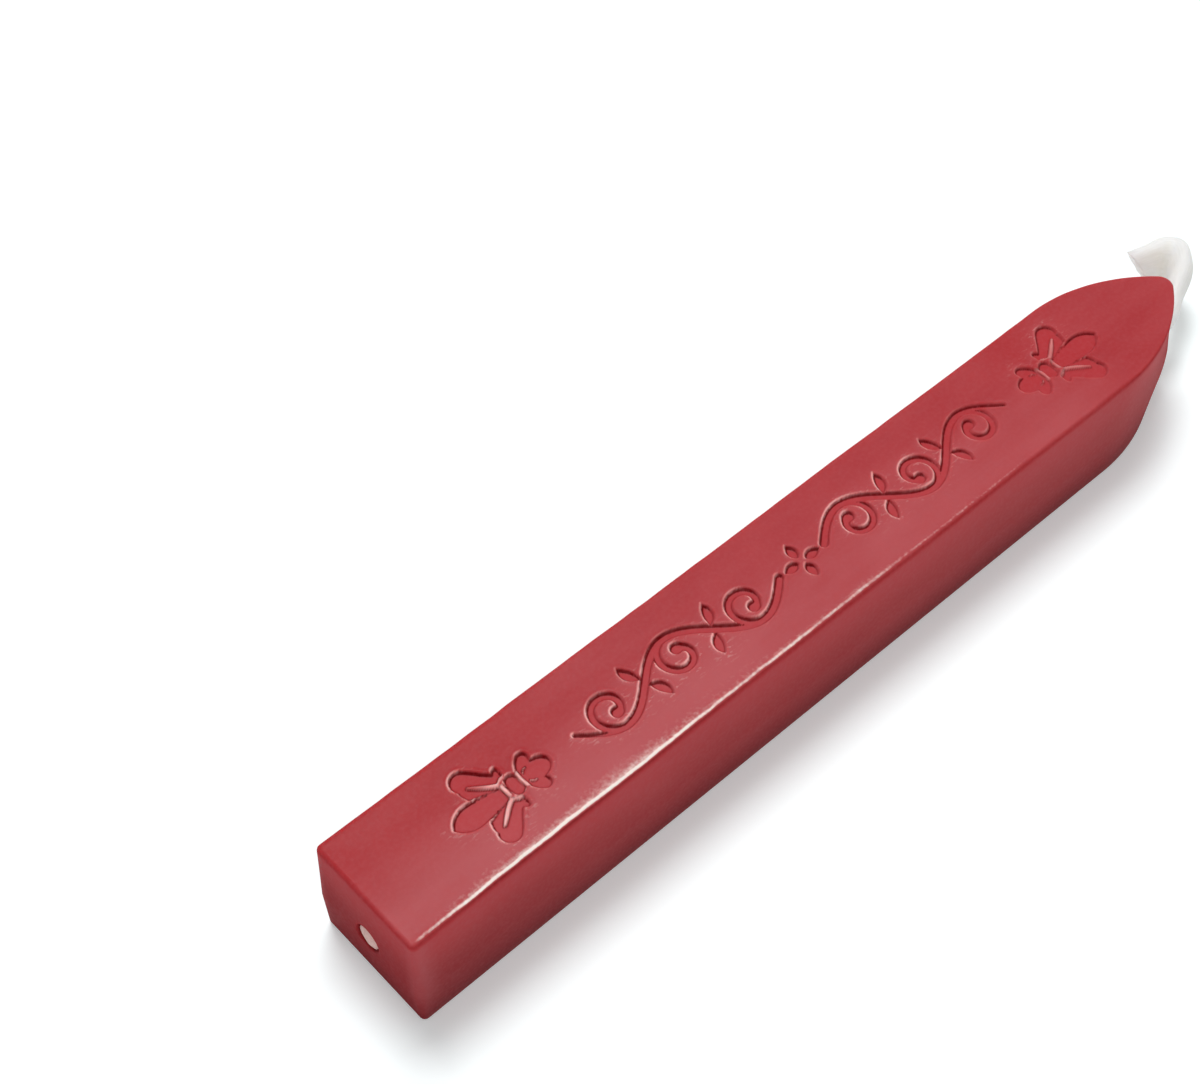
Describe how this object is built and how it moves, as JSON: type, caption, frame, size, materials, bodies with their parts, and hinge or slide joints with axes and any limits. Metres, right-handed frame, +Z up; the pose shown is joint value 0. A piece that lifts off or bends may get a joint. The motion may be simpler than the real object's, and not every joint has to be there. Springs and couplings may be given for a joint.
{
  "type": "sealing wax stick",
  "caption": "Red sealing wax bar with sunk fleur-de-lis and scroll ornament on its face, a pointed end, and a cotton wick that runs through it to a bent free tail.",
  "frame": {"origin": "centre of the bar's flat resting face, midway between the butt face and the nose", "axes": "+X along the bar towards the pointed end, +Y to the left seen from the butt end, +Z up from the resting face to the ornamented face"},
  "size_m": [0.0986, 0.0132, 0.011],
  "materials": {
    "wax": "satin moulded sealing wax, deep red",
    "wick": "off-white cotton braid"
  },
  "bodies": {
    "wax_stick": {"wax_bar": "wax", "wick_core": "wick"},
    "wick_end": {"wick_tail": "wick"}
  },
  "joints": [
    {"name": "wick_bend", "type": "hinge", "parent": "wax_stick", "child": "wick_end", "pos_m": [0.0465, 0, 0.0052], "axis": [0, 0, 1], "range_deg": [-100, 45]}
  ]
}
